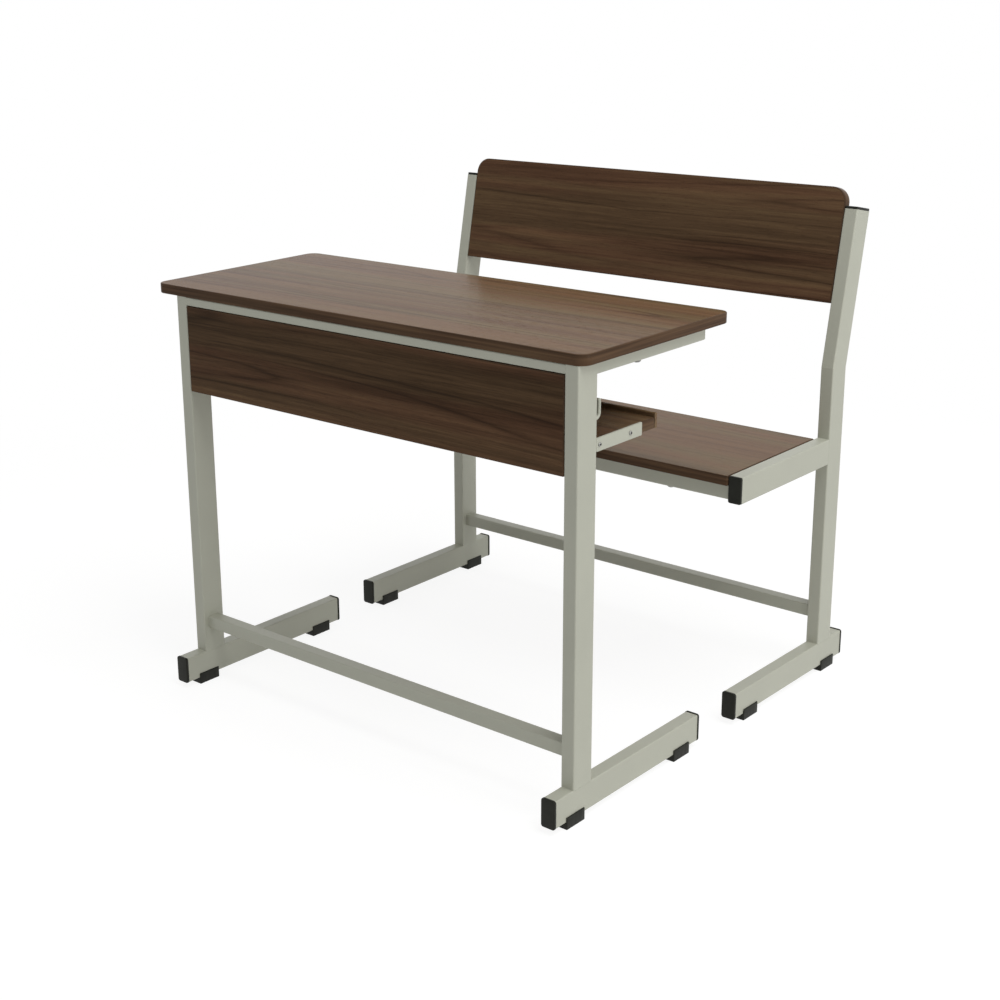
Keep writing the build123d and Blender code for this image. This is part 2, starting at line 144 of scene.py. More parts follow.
class SCHOOLDESK_PG_stage(bpy.types.PropertyGroup):
    """Camera, lamps and floor."""

    camera_place: place("Where the camera stands", (1.8552, -2.3010, 1.3049))
    azimuth: angle("Turn of the view from the front towards the right", 41.955)
    elevation: angle("How far the view looks down", 16.931)
    roll: angle("Tilt of the picture", -0.976)
    lens: number("Focal length for a 36 mm wide picture, in millimetres", 59.74)
    shift_x: number("Shift of the picture across, as a share of its width", 0.0811)
    shift_y: number("Shift of the picture up, as a share of its width", -0.0323)
    floor_colour: colour("Pale floor, as the lamps see it", (0.88, 0.88, 0.87))
    floor_radius: length("Radius of the round floor", 9)
    shadow_reach: length("Distance at which the floor has turned plain white", 2.4)
    shadow_depth: number("How much of the shadow the floor shows", 0.24)
    shadow_lift: number("Light that the camera sees in the floor besides the lamps'", 0.50)
    sky_strength: number("Strength of the even light from all round", 0.385)
    key_strength: number("Power of the large lamp above the right side, in watts", 86)
    key_size: length("Width of the large lamp", 2.6)
    key_place: place("Where the large lamp hangs", (2.0, -0.3, 4.2))
    key_aim: place("Point that the large lamp is turned to", (0, 0, 0.4))
    fill_strength: number("Power of the low lamp at the right, in watts", 18)
    fill_size: length("Width of the low lamp", 1.4)
    fill_place: place("Where the low lamp stands", (3.6, 0.3, 0.8))
    fill_aim: place("Point that the low lamp is turned to", (-0.3, -0.2, 0.4))


class SCHOOLDESK_PG_laminate(bpy.types.PropertyGroup):
    """Walnut decor of the boards."""

    deep: colour("Darkest veins", (0.027, 0.015, 0.009))
    dark: colour("Dark streaks", (0.063, 0.035, 0.019))
    middle: colour("Most of the board", (0.123, 0.0700, 0.0390))
    light: colour("Light streaks", (0.203, 0.127, 0.066))
    bands: number("Broad bands across the grain, per metre", 11)
    streaks: number("Streaks across the grain, per metre", 45)
    fibres: number("Fine fibres across the grain, per metre", 600)
    red: colour("Tint of the redder bands", (1.0, 0.90, 0.90))
    ochre: colour("Tint of the yellower bands", (0.96, 1.0, 0.95))
    band_grey: colour("Grey that the edge bands are toned down with", (0.085, 0.072, 0.055))
    rings: number("Number of dark lines between the deepest and the highest contour", 9)
    vein: number("Strength of the long dark veins", 0.20)
    run: number("Changes along the grain, per metre", 1.0)
    sway: length("How far the grain wanders sideways", 0.022)
    relief: length("Depth of the pores", 0.00004)
    roughness: number("Roughness of the satin surface", 0.14)


class SCHOOLDESK_PG_steel(bpy.types.PropertyGroup):
    """Powder coat and weld beads of the frames, zinc and sizes of the screws."""

    paint: colour("Warm pale grey of both frames", (0.491, 0.497, 0.413))
    paint_roughness: number("Roughness of the powder coat", 0.42)
    peel: number("Waves of the powder coat per metre", 620)
    peel_depth: length("Height of those waves", 0.00003)
    zinc: colour("Plated screws", (0.36, 0.36, 0.34))
    # painted shade: the colour of the faces inside a screw's recess, where shade falls
    recess: colour("Dark bottom of a screw's recess", (0.030, 0.030, 0.028))
    bead: length("Radius of the weld beads round the tubes' ends", 0.0015)
    thin_bead: length("Radius of the weld beads round thin steel", 0.0009)
    wave_length: length("Length of the waves in a weld bead", 0.0045)
    wave_height: length("Height of the waves in a weld bead", 0.00008)
    truss_head: length("Diameter of the screw heads under the boards", 0.014)
    truss_height: length("Height of those heads", 0.0055)
    truss_shank: length("Shank diameter of those screws", 0.0046)
    pan_head: length("Diameter of the small screw heads in bars and tabs", 0.007)
    pan_height: length("Height of the small heads", 0.0026)
    pan_shank: length("Shank diameter of the small screws", 0.0036)


class SCHOOLDESK_PG_plastic(bpy.types.PropertyGroup):
    """Black caps and glides."""

    black: colour("Moulded plastic", (0.0105, 0.0112, 0.0075))
    roughness: number("Roughness of the moulded face", 0.48)
    grain: number("Grains of the moulded face per metre", 1400)
    grain_depth: length("Depth of that grain", 0.00004)
    cap_head: length("Height of a cap outside its tube", 0.005)
    cap_lip: length("How far the runners' caps stand out past their tubes", 0.001)
    cap_corner: length("Corner radius of a cap, seen from its end", 0.0036)
    cap_round: length("Radius of the rim of a cap", 0.0014)
    cap_crown: length("How far a cap's face bulges", 0.0003)
    plug_length: length("Length of a cap's plug in its tube", 0.014)
    glide_sole: length("Thickness of a glide under its runner", 0.012)
    glide_round: length("Radius of a glide's outer edges", 0.0012)
    tread: length("Depth of the grooves under a glide", 0.0008)
    treads: count("Number of grooves under a glide", 3)


class SCHOOLDESK_PG_boards(bpy.types.PropertyGroup):
    """Edge bands of the boards."""

    band: length("Thickness of the edge band", 0.002)
    rim: length("Radius of the band's outer rims", 0.0018)
    seam: length("Radius of the groove where the band meets the board", 0.00018)
    butt: length("Half the gap where the ends of a band meet", 0.0005)
    top_corner: length("Corner radius of the desk top", 0.020)
    back_corner: length("Radius of the backrest's upper corners", 0.028)
    square_corner: length("Radius left on a square corner", 0.0022)
    lean: angle("How far the backrest leans back", 11.1)
    steps: count("Faces round a corner", 10)
    rim_steps: count("Faces round a rim", 5)


def settings(name):
    """One group of settings of the scene."""
    return getattr(bpy.context.scene, f"schooldesk_{name}")


# Node trees

def sums(operation, turned=False):
    """Method that adds a node for one operation, turned where the number stands on its right."""

    def method(self, other):
        pair = (other, self) if turned else (self, other)
        return self.graph.math(operation, *pair)

    return method


class Amount:
    """What a node gives, so that sums on it add their own nodes."""

    __add__, __radd__ = sums("ADD"), sums("ADD", turned=True)
    __sub__, __rsub__ = sums("SUBTRACT"), sums("SUBTRACT", turned=True)
    __mul__, __rmul__ = sums("MULTIPLY"), sums("MULTIPLY", turned=True)
    __truediv__, __pow__ = sums("DIVIDE"), sums("POWER")

    def __init__(self, graph, socket):
        self.graph = graph
        self.socket = socket

    def clamped(self):
        """This number, kept between 0 and 1."""
        return self.graph.node("ShaderNodeClamp", {"Value": self})

    def step(self, low, high):
        """Smooth rise from 0 to 1 between two values."""
        inputs = {"Value": self, "From Min": low, "From Max": high}
        return self.graph.node("ShaderNodeMapRange", inputs, interpolation_type="SMOOTHSTEP")


class Graph:
    """Node tree, with calls that add a node and set it up."""

    def __init__(self, tree):
        self.tree = tree
        tree.nodes.clear()

    def node(self, kind, inputs=None, out=0, **choices):
        """Add a node with its inputs and choices, and give one of its outputs; a list feeds one input."""
        made = self.tree.nodes.new(kind)
        for name, value in choices.items():
            setattr(made, name, value)
        for name, value in (inputs or {}).items():
            for part in value if isinstance(value, list) else [value]:
                if isinstance(part, Amount):
                    self.tree.links.new(part.socket, made.inputs[name])
                else:
                    made.inputs[name].default_value = part
        return Amount(self, made.outputs[out])

    def math(self, operation, *values):
        """Result of one operation on numbers."""
        return self.node("ShaderNodeMath", dict(enumerate(values)), operation=operation)

    def end(self, kind, name, last):
        """Connect what the last node gives to the tree's output."""
        self.tree.links.new(last.socket, self.tree.nodes.new(kind).inputs[name])


class Finish(Graph):
    """Material and the nodes that make it."""

    def __init__(self, name):
        self.material = bpy.data.materials.new(name)
        self.material.use_nodes = True
        super().__init__(self.material.node_tree)

    def vector(self, operation, *values, out=0):
        """Result of one operation on vectors."""
        return self.node("ShaderNodeVectorMath", dict(enumerate(values)), out, operation=operation)

    def attribute(self, name):
        """Number that the mesh holds."""
        return self.node("ShaderNodeAttribute", out="Fac", attribute_name=name)

    def object_place(self, offset=(0, 0, 0)):
        """Place on the piece, moved so that no two boards show the same part of a pattern."""
        here = self.node("ShaderNodeTexCoord", out="Object")
        return self.node("ShaderNodeMapping", {"Vector": here, "Location": offset})

    def noise(self, where, waves, detail=2.0, roughness=0.5):
        """Soft noise between 0 and 1, with a number of waves per metre for each axis or for all."""
        waves = waves if isinstance(waves, tuple) else (waves,) * 3
        inputs = {"Vector": self.vector("MULTIPLY", where, waves), "Scale": 1.0}
        return self.node("ShaderNodeTexNoise", inputs | {"Detail": detail, "Roughness": roughness})

    def mix(self, factor, first, second, blend="MIX"):
        """Blend of two colours, which are the node's inputs 6 and 7 and its output 2."""
        tones = [tone if isinstance(tone, Amount) else (*tone, 1) for tone in (first, second)]
        inputs = {0: factor, 6: tones[0], 7: tones[1]}
        return self.node("ShaderNodeMix", inputs, 2, data_type="RGBA", blend_type=blend)

    def bump(self, height, depth):
        """Normal for a relief of this depth."""
        return self.node("ShaderNodeBump", {"Height": height, "Distance": depth, "Strength": 1.0})

    def done(self, surface):
        """Connect the surface and give the material."""
        self.end("ShaderNodeOutputMaterial", "Surface", surface)
        return self.material

    def coated(self, base, rough, relief, gloss=0.5, metallic=0.0):
        """Surface from its colour, roughness and relief, and the finished material."""
        inputs = {"Base Color": base, "Roughness": rough, "Normal": relief}
        inputs |= {"Specular IOR Level": gloss, "Metallic": metallic}
        return self.done(self.node("ShaderNodeBsdfPrincipled", inputs))


def tinted(tone, factor):
    """Colour made lighter or darker."""
    return tuple(min(1, part * factor) for part in tone)


# Finishes

def summed(middle, layers):
    """Sum of noises round a middle value, each with its own share."""
    total = middle
    for noise, part in layers:
        total = total + part * (noise - 0.5)
    return total


def grain(finish, where, decor):
    """Tones, hue, fibres and pores of walnut with its grain along X, from wide bands to fine fibres."""

    def layer(at, along, across, detail=2.0, roughness=0.5):
        return finish.noise(at, (along * decor.run, across, across), detail, roughness)

    wander = layer(where, along=0.5, across=2.2, detail=1.0) - 0.5
    ripple = layer(where, along=3.4, across=12.0, detail=1.0) - 0.5
    swayed = wander * (2 * decor.sway) + ripple * (0.4 * decor.sway)
    shift = finish.node("ShaderNodeCombineXYZ", {"Y": swayed, "Z": swayed})
    bent = finish.vector("ADD", where, shift)
    bands = layer(bent, along=0.45, across=decor.bands)
    streaks = layer(bent, along=0.9, across=decor.streaks, detail=3.0, roughness=0.55)
    threads = layer(bent, along=2.6, across=4.2 * decor.streaks, detail=3.0, roughness=0.6)
    fibres = layer(bent, along=14, across=decor.fibres, roughness=0.6)
    contour = layer(bent, along=0.35, across=decor.bands, detail=1.0) * decor.rings
    strength = layer(bent, along=1.1, across=9.0, detail=1.0).step(0.30, 0.56)
    vein = (1 - 2 * finish.math("PINGPONG", contour, 0.5)) ** 7 * strength
    tone = summed(BOARD_TONE, ((bands, 0.48), (streaks, 0.50), (threads, 0.40), (fibres, 0.28)))
    hue = layer(bent, along=0.7, across=2.2 * decor.bands).step(0.38, 0.62)
    pores = layer(where, along=55, across=1300.0, detail=1.0).step(0.60, 0.72)
    return tone - decor.vein * vein, hue, fibres, pores


def laminate_ramp(finish, tone, hue, decor):
    """Colours of the decor over its tones, between its red and its ochre hue."""
    stops = ((0.10, decor.deep), (0.34, decor.dark), (0.55, decor.middle), (0.80, decor.light))
    base = finish.node("ShaderNodeValToRGB", {"Fac": tone})
    elements = base.socket.node.color_ramp.elements
    while len(elements) < len(stops):
        elements.new(0.5)
    for element, (position, shade) in zip(elements, stops):
        element.position = position
        element.color = (*shade, 1)
    return finish.mix(1.0, base, finish.mix(hue, decor.red, decor.ochre), "MULTIPLY")


def laminate(name, offset, lift, gloss):
    """Satin walnut laminate for one board, with painted light: the lift makes its tone lighter or darker by
    how much light the board faces.
    """
    decor = settings("laminate")
    finish = Finish(f"walnut_laminate_{name}")
    tone, hue, fibres, pores = grain(finish, finish.object_place(offset), decor)
    # painted light: the lift raises or lowers the tone of the whole board
    base = laminate_ramp(finish, tone + lift, hue, decor)
    base = finish.mix(pores * 0.35, base, decor.deep)
    rough = decor.roughness + 0.10 * (fibres - 0.5) + 0.10 * pores
    relief = finish.bump(fibres * 0.5 - pores, decor.relief)
    return finish.coated(base, rough, relief, gloss)


def walnut_edging(finish):
    """Edge band in the same decor, with its lines along the band."""
    decor = settings("laminate")
    along, across = finish.attribute("along"), finish.attribute("across")
    where = finish.node("ShaderNodeCombineXYZ", {"X": along, "Y": across})
    lines = finish.noise(where, waves=(2.0, 160.0, 1.0))
    fibres = finish.noise(where, waves=(11.0, 900.0, 1.0), detail=3.0, roughness=0.6)
    flakes = finish.noise(where, waves=(5.0, 45.0, 1.0), detail=1.0)
    tone = summed(EDGE_TONE, ((lines, 0.8), (fibres, 0.4), (flakes, 0.3)))
    base = finish.mix(0.15, laminate_ramp(finish, tone, flakes, decor), decor.band_grey)
    rough = decor.roughness + 0.08 * (fibres - 0.5)
    return finish.coated(base, rough, finish.bump(fibres, decor.relief), EDGE_GLOSS)


def powder_coat(finish):
    """Pale powder coat with a slight orange peel."""
    coat = settings("steel")
    where = finish.object_place()
    cloud = finish.noise(where, waves=9.0, detail=3.0, roughness=0.6)
    peel = finish.noise(where, waves=coat.peel)
    specks = finish.noise(where, waves=2600.0, detail=1.0)
    patches = summed(0.5, ((cloud, 1.3), (specks, 0.5))).clamped()
    base = finish.mix(patches, tinted(coat.paint, 0.95), tinted(coat.paint, 1.05))
    rough = summed(coat.paint_roughness, ((peel, 0.10), (cloud, 0.06)))
    return finish.coated(base, rough, finish.bump(peel + 0.2 * specks, coat.peel_depth))


def black_moulded_plastic(finish):
    """Black moulded plastic with a fine eroded grain and faint rubbed patches."""
    mould = settings("plastic")
    where = finish.object_place()
    fine = finish.noise(where, waves=mould.grain, roughness=0.6)
    rubbed = finish.noise(where, waves=60.0, detail=3.0, roughness=0.6)
    worn = tuple(part * 1.8 + 0.002 for part in mould.black)
    patches = summed(0.25, ((rubbed, 1.2), (fine, 0.5))).clamped()
    base = finish.mix(patches, mould.black, worn)
    rough = summed(mould.roughness, ((fine, 0.16), (rubbed, -0.10)))
    return finish.coated(base, rough, finish.bump(fine, mould.grain_depth), gloss=0.18)


def zinc_plate(finish):
    """Plated steel of the screws, with painted shade in their recesses."""
    steel = settings("steel")
    where = finish.object_place()
    cloud = finish.noise(where, waves=240.0, detail=3.0, roughness=0.6)
    scratches = finish.noise(where, waves=(300.0, 3000.0, 3000.0), detail=1.0)
    patches = (cloud + 0.4 * (scratches - 0.5)).clamped()
    base = finish.mix(patches, tinted(steel.zinc, 0.72), steel.zinc)
    # painted shade: the faces marked as recess take the dark recess colour
    base = finish.mix(finish.attribute("recess"), base, steel.recess)
    rough = 0.54 + 0.20 * (cloud - 0.5) + 0.08 * scratches
    return finish.coated(base, rough, finish.bump(scratches, 0.00001), metallic=1.0)


def kept(make):
    """Material of that name, made the first time it is asked for."""
    return bpy.data.materials.get(make.__name__) or make(Finish(make.__name__))


def paint_node(name, material):
    """Give a node of the frame its material."""
    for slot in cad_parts[name].material_slots:
        slot.material = material


# Meshes

def helper(name, mesh):
    """Object in the scene for a mesh."""
    made = bpy.data.objects.new(name, mesh)
    bpy.context.scene.collection.objects.link(made)
    return made


def put(name, mesh, body, replaced):
    """Place a finished mesh as a piece that rides on a body and stands for nodes of the frame."""
    piece = helper(name, mesh)
    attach(piece, body)
    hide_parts(*replaced)


def smoothed(form):
    """Smooth an open form, except where faces meet at a clear angle."""
    for face in form.faces:
        face.smooth = True
    for edge in form.edges:
        edge.smooth = edge.calc_face_angle(0) < SHARP_ANGLE


def closed(form, mesh):
    """Write an open form into a mesh."""
    form.to_mesh(mesh)
    form.free()
    return mesh


def shaded(form, name):
    """Clean and smooth mesh from an open form."""
    bmesh.ops.remove_doubles(form, verts=form.verts, dist=1e-7)
    bmesh.ops.dissolve_degenerate(form, edges=form.edges, dist=1e-8)
    bmesh.ops.recalc_face_normals(form, faces=form.faces)
    smoothed(form)
    return closed(form, bpy.data.meshes.new(name))


def loft(form, rings):
    """Skin a row of rings that have the same number of points, and close both its ends."""
    rows = [[form.verts.new(point) for point in ring] for ring in rings]
    for low, high in zip(rows, rows[1:]):
        for index in range(len(low)):
            ahead = (index + 1) % len(low)
            form.faces.new((low[index], low[ahead], high[ahead], high[index]))
    form.faces.new(reversed(rows[0]))
    form.faces.new(rows[-1])


def circle(radius, rise, steps):
    """Points of a circle round Z at one height."""
    angles = [2 * pi * step / steps for step in range(steps)]
    return [(radius * cos(turn), radius * sin(turn), rise) for turn in angles]


def rounded_ring(width, height, corner, rise, steps=6):
    """Points of a rounded rectangle at one height."""
    corner = min(corner, width / 2 - 1e-5, height / 2 - 1e-5)
    points = []
    for quarter, (way_x, way_y) in enumerate(((1, 1), (-1, 1), (-1, -1), (1, -1))):
        for step in range(steps + 1):
            turn = (quarter + step / steps) * pi / 2
            x = way_x * (width / 2 - corner) + corner * cos(turn)
            y = way_y * (height / 2 - corner) + corner * sin(turn)
            points.append((x, y, rise))
    return points


def points_mesh(name, marks, edges=()):
    """Mesh of points, loose or joined in lines, with each point's numbers and vectors as attributes."""
    mesh = bpy.data.meshes.new(name)
    mesh.from_pydata([mark["at"] for mark in marks], edges, [])
    for key, sample in marks[0].items():
        if key == "at":
            continue
        kind, field = ("FLOAT", "value") if isinstance(sample, float) else ("FLOAT_VECTOR", "vector")
        attribute = mesh.attributes.new(key, kind, "POINT")
        for index, mark in enumerate(marks):
            setattr(attribute.data[index], field, mark[key])
    return mesh


def turn_to(aim, across=Vector((1, 0, 0))):
    """Turn that points a shape's own +Z along the aim and keeps its own X level."""
    if abs(aim.dot(across)) > 0.9:
        across = Vector((0, 1, 0))
    side = (across - aim * across.dot(aim)).normalized()
    return Matrix((side, aim.cross(side), aim)).transposed().to_euler()


def mark(at, aim, **values):
    """Point for a shape that faces the aim, with its other values."""
    return {"at": at, "turn": Vector(turn_to(aim)), **values}


def middle_of(name):
    """Middle of a node's box."""
    low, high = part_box(name)
    return (low + high) / 2


class Layout(Graph):
    """Geometry tree that makes one kind of piece."""

    def __init__(self, name, inputs):
        super().__init__(bpy.data.node_groups.new(name, "GeometryNodeTree"))
        for title, kind in {"Geometry": "Geometry", **inputs}.items():
            self.tree.interface.new_socket(title, in_out="INPUT", socket_type=f"NodeSocket{kind}")
        self.tree.interface.new_socket("Geometry", in_out="OUTPUT", socket_type="NodeSocketGeometry")
        self.source = self.tree.nodes.new("NodeGroupInput")

    def given(self, title):
        """One of the tree's own inputs."""
        return Amount(self, self.source.outputs[title])

    def points(self):
        """Points of the mesh that the tree is given."""
        return self.node("GeometryNodeMeshToPoints", {"Mesh": self.given("Geometry")})

    def shape(self, title):
        """Shape of an object that the tree is given."""
        return self.node("GeometryNodeObjectInfo", {"Object": self.given(title)}, "Geometry")

    def stored(self, name, kind="FLOAT"):
        """Attribute of the points."""
        return self.node("GeometryNodeInputNamedAttribute", {"Name": name}, data_type=kind)

    def store(self, geometry, name, value):
        """Keep a number on the points."""
        inputs = {"Geometry": geometry, "Name": name, "Value": value}
        return self.node("GeometryNodeStoreNamedAttribute", inputs, data_type="FLOAT", domain="POINT")

    def swept(self, curve, section, others=None):
        """Section swept along a curve, with smooth faces."""
        inputs = {"Curve": curve, "Profile Curve": section} | (others or {})
        faces = self.node("GeometryNodeCurveToMesh", inputs)
        return self.node("GeometryNodeSetShadeSmooth", {"Geometry": faces})

    def finish(self, geometry):
        """End the tree in real faces with their material."""
        real = self.node("GeometryNodeRealizeInstances", {"Geometry": geometry})
        inputs = {"Geometry": real, "Material": self.given("Material")}
        self.end("NodeGroupOutput", "Geometry", self.node("GeometryNodeSetMaterial", inputs))
        return self.tree


def evaluated(source, name):
    """Mesh of an object with its modifiers, for which the object is given up."""
    bpy.context.view_layer.update()
    graph = bpy.context.evaluated_depsgraph_get()
    mesh = bpy.data.meshes.new_from_object(source.evaluated_get(graph))
    mesh.name = name
    bpy.data.objects.remove(source)
    return mesh


def grown(name, mesh, tree, values):
    """Mesh that a tree makes from a mesh, with the values of its named inputs."""
    source = helper(f"{name}_source", mesh)
    modifier = source.modifiers.new("Layout", "NODES")
    modifier.node_group = tree
    sockets = {item.name: item.identifier for item in tree.interface.items_tree if item.in_out == "INPUT"}
    for title, value in values.items():
        modifier[sockets[title]] = value
    return evaluated(source, name)


# Edge bands

def edge_band_tree():
    """Band with rounded rims, swept round a flat outline and then turned into its place."""
    sizes = ("Board thickness", "Band thickness", "Rim radius", "Seam radius")
    inputs = {title: "Float" for title in sizes} | {"Corner steps": "Int", "Rim steps": "Int"}
    inputs |= {"Turn": "Rotation", "Place": "Vector", "Material": "Material"}
    layout = Layout("Edge band", inputs)
    node, given = layout.node, layout.given
    line = node("GeometryNodePointsToCurves", {"Points": layout.points()})
    ring = node("GeometryNodeSetSplineCyclic", {0: line, "Cyclic": True})
    corner = {"Curve": ring, "Count": given("Corner steps"), "Radius": layout.stored("corner")}
    path = node("GeometryNodeFilletCurve", corner, mode="POLY")
    path = node("GeometryNodeSetCurveNormal", {"Curve": path}, mode="Z_UP")
    path = layout.store(path, "along", node("GeometryNodeSplineParameter", out="Length"))
    band = given("Band thickness")
    block = {"Width": band, "Height": given("Board thickness")}
    section = node("GeometryNodeCurvePrimitiveQuadrilateral", block, mode="RECTANGLE")
    inwards = node("ShaderNodeCombineXYZ", {"X": band * -0.5})
    section = node("GeometryNodeSetPosition", {"Geometry": section, "Offset": inwards})
    here = node("GeometryNodeInputPosition")
    across = node("ShaderNodeSeparateXYZ", {0: here})
    height = node("ShaderNodeSeparateXYZ", {0: here}, 1)
    inner = layout.math("LESS_THAN", across, band * -0.5)
    radius = inner * given("Seam radius") + (1.0 - inner) * given("Rim radius")
    bend = {"Curve": section, "Count": given("Rim steps"), "Radius": radius}
    section = node("GeometryNodeFilletCurve", bend, mode="POLY")
    swept = layout.swept(path, layout.store(section, "across", height))
    moved = {"Geometry": swept, "Translation": given("Place"), "Rotation": given("Turn")}
    return layout.finish(node("GeometryNodeTransform", moved))


def outline_marks(corners, butt):
    """Outline from its corners, started and ended at a butt joint in the middle of its last side."""
    (last_x, last_y, _), (first_x, first_y, _) = corners[-1], corners[0]
    x, y = (last_x + first_x) / 2, (last_y + first_y) / 2
    side = Vector((first_x - last_x, first_y - last_y)).normalized() * butt
    ring = [(x + side.x, y + side.y, 0.0), *corners, (x - side.x, y - side.y, 0.0)]
    return [{"at": (x, y, 0.0), "corner": float(radius)} for x, y, radius in ring]


def leg_notch(depth):
    """Corners that the book shelf has at the right leg, which it is notched round."""
    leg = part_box("desk_leg_left")
    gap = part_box("modesty_panel_edging")[0].x - leg[1].x
    half = (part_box("desk_leg_right")[0].x - leg[1].x) / 2 - gap
    rear = leg[1].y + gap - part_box("book_shelf_edging")[0].y - depth / 2
    return [(half, -depth / 2), (half, rear)], rear


def board_layout(name, sizes):
    """Corners of a board's outline against the clock from the rear left, its thickness, turn and middle."""
    low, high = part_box(f"{name}_edging")
    width, depth, thickness = high - low
    turn, front, rear = 0.0, sizes.square_corner, sizes.square_corner
    if name == "desk_top":
        front = rear = sizes.top_corner
    elif name == "modesty_panel":
        depth, thickness, turn = thickness, depth, pi / 2
    elif name == "backrest":
        height, flat, lean = thickness, 2 * sizes.rim, sizes.lean
        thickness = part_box("desk_top")[1].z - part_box("desk_top")[0].z
        depth = (height - flat - (thickness - flat) * sin(lean)) / cos(lean) + flat
        turn, rear = pi / 2 - lean, sizes.back_corner
    notch, start = leg_notch(depth) if name == "book_shelf" else ([], -depth / 2)
    right = [(x, y, front) for x, y in [*notch, (width / 2, start)]] + [(width / 2, depth / 2, rear)]
    left = [(-x, y, radius) for x, y, radius in reversed(right)]
    return left + right, thickness, turn, (low + high) / 2


class SCHOOLDESK_OT_boards(bpy.types.Operator):
    """Give the boards their laminate and sweep an edge band round each"""

    bl_idname = "schooldesk.boards"
    bl_label = "Boards and edge bands"

    def execute(self, context):
        sizes = settings("boards")
        tree = edge_band_tree()
        values = {
            "Band thickness": sizes.band,
            "Rim radius": sizes.rim,
            "Seam radius": sizes.seam,
            "Corner steps": sizes.steps,
            "Rim steps": sizes.rim_steps,
            "Material": kept(walnut_edging),
        }
        for index, name in enumerate(BOARD_PAINTED_LIGHT_AND_GLOSS):
            offset = tuple(start + index * step for start, step in zip(GRAIN_START, GRAIN_STEP))
            # each board's laminate takes its painted light and gloss from its entry in the board table
            paint_node(name, laminate(name, offset, *BOARD_PAINTED_LIGHT_AND_GLOSS[name]))
            corners, thickness, turn, middle = board_layout(name, sizes)
            values |= {"Board thickness": thickness, "Turn": Euler((turn, 0, 0)), "Place": middle}
            outline = points_mesh(f"{name}_outline", outline_marks(corners, sizes.butt))
            mesh = grown(f"{name}_band", outline, tree, values)
            body = "bench" if name in BENCH_BOARDS else "desk"
            put(f"{name}_band", mesh, body, [f"{name}_edging"])
        # the shelf's lip gets its painted light and gloss
        paint_node("book_shelf_lip", laminate("shelf_lip", LIP_START, *LIP_PAINTED_LIGHT_AND_GLOSS))
        return {"FINISHED"}


class SCHOOLDESK_OT_frames(bpy.types.Operator):
    """Powder coat the tube frames, the shelf bars, the tabs and the bag hooks"""

    bl_idname = "schooldesk.frames"
    bl_label = "Steel frames"

    def execute(self, context):
        for name in STEEL:
            paint_node(name, kept(powder_coat))
        return {"FINISHED"}


# Screws

def islands(name):
    """Points of each separate solid in a node of the frame."""
    form = bmesh.new()
    form.from_mesh(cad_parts[name].data)
    bmesh.ops.remove_doubles(form, verts=form.verts, dist=1e-6)
    left, found = set(form.verts), []
    while left:
        waiting = [left.pop()]
        solid = []
        while waiting:
            vertex = waiting.pop()
            solid.append(vertex.co.copy())
            ends = [edge.other_vert(vertex) for edge in vertex.link_edges]
            fresh = [end for end in ends if end in left]
            left.difference_update(fresh)
            waiting += fresh
        found.append(solid)
    form.free()
    middles = [sum(solid, Vector()) / len(solid) for solid in found]
    order = sorted(range(len(found)), key=lambda index: [round(part, 4) for part in middles[index]])
    return [found[index] for index in order]


def screw_marks(name, head_height):
    """Seat, turn and shank length of each screw in a node of the frame."""
    marks = []
    for solid in islands(name):
        cloud = numpy.array(solid)
        middle = cloud.mean(0)
        aim = numpy.linalg.svd(cloud - middle)[2][0]
        reach = (cloud - middle) @ aim
        width = numpy.linalg.norm((cloud - middle) - numpy.outer(reach, aim), axis=1)
        if reach[width.argmax()] > 0:
            aim, reach = -aim, -reach
        low, high = float(reach.min()), float(reach.max())
        seat = Vector(middle) + Vector(aim) * (low + head_height)
        marks.append(mark(seat, Vector(aim), reach=high - low - head_height))
    return marks


def screw_tree():
    """Screws on points: a head with its recess and a threaded shank of each point's own length."""
    inputs = {title: "Float" for title in ("Head diameter", "Head height", "Shank diameter")}
    inputs |= {"Head": "Object", "Shank": "Object", "Seed": "Int", "Material": "Material"}
    layout = Layout("Screws", inputs)
    node, given, points = layout.node, layout.given, layout.points()
    spin = {"Seed": given("Seed"), 2: 0.0, 3: pi / 2}
    random = node("FunctionNodeRandomValue", spin, 1, data_type="FLOAT")
    twist = node("ShaderNodeCombineXYZ", {"Z": random})
    turned = {"Rotation": layout.stored("turn", "FLOAT_VECTOR"), "Rotate By": twist}
    turn = node("FunctionNodeRotateRotation", turned, rotation_space="LOCAL")
    parts = []
    for title, along in (("Head", given("Head height")), ("Shank", layout.stored("reach"))):
        across = given(f"{title} diameter")
        scale = node("ShaderNodeCombineXYZ", {"X": across, "Y": across, "Z": along})
        inputs = {"Points": points, "Instance": layout.shape(title), "Rotation": turn, "Scale": scale}
        parts.append(node("GeometryNodeInstanceOnPoints", inputs))
    return layout.finish(layout.node("GeometryNodeJoinGeometry", {"Geometry": parts}))


def turned_shape(name, profile, steps):
    """Closed shape turned round Z from a profile of (radius, height) pairs."""
    form = bmesh.new()
    loft(form, [circle(radius, rise, steps) for radius, rise in profile])
    return shaded(form, name)


# a screw's head is one wide and one high, from its seat at z = 0 to its crown at z = -1
HEAD_RIM = 0.14
HEAD_DOME = 1 - HEAD_RIM
RECESS_HALF = (0.33, 0.14)
RECESS_MOUTH = -1.2
RECESS_FLOOR = -0.25
RECESS_TAPER = (0.55, 0.5)


def dome_rise(radius):
    """Height of a screw's dome at a distance from its middle."""
    return -HEAD_RIM - HEAD_DOME * max(0, 1 - 4 * radius * radius) ** 0.5


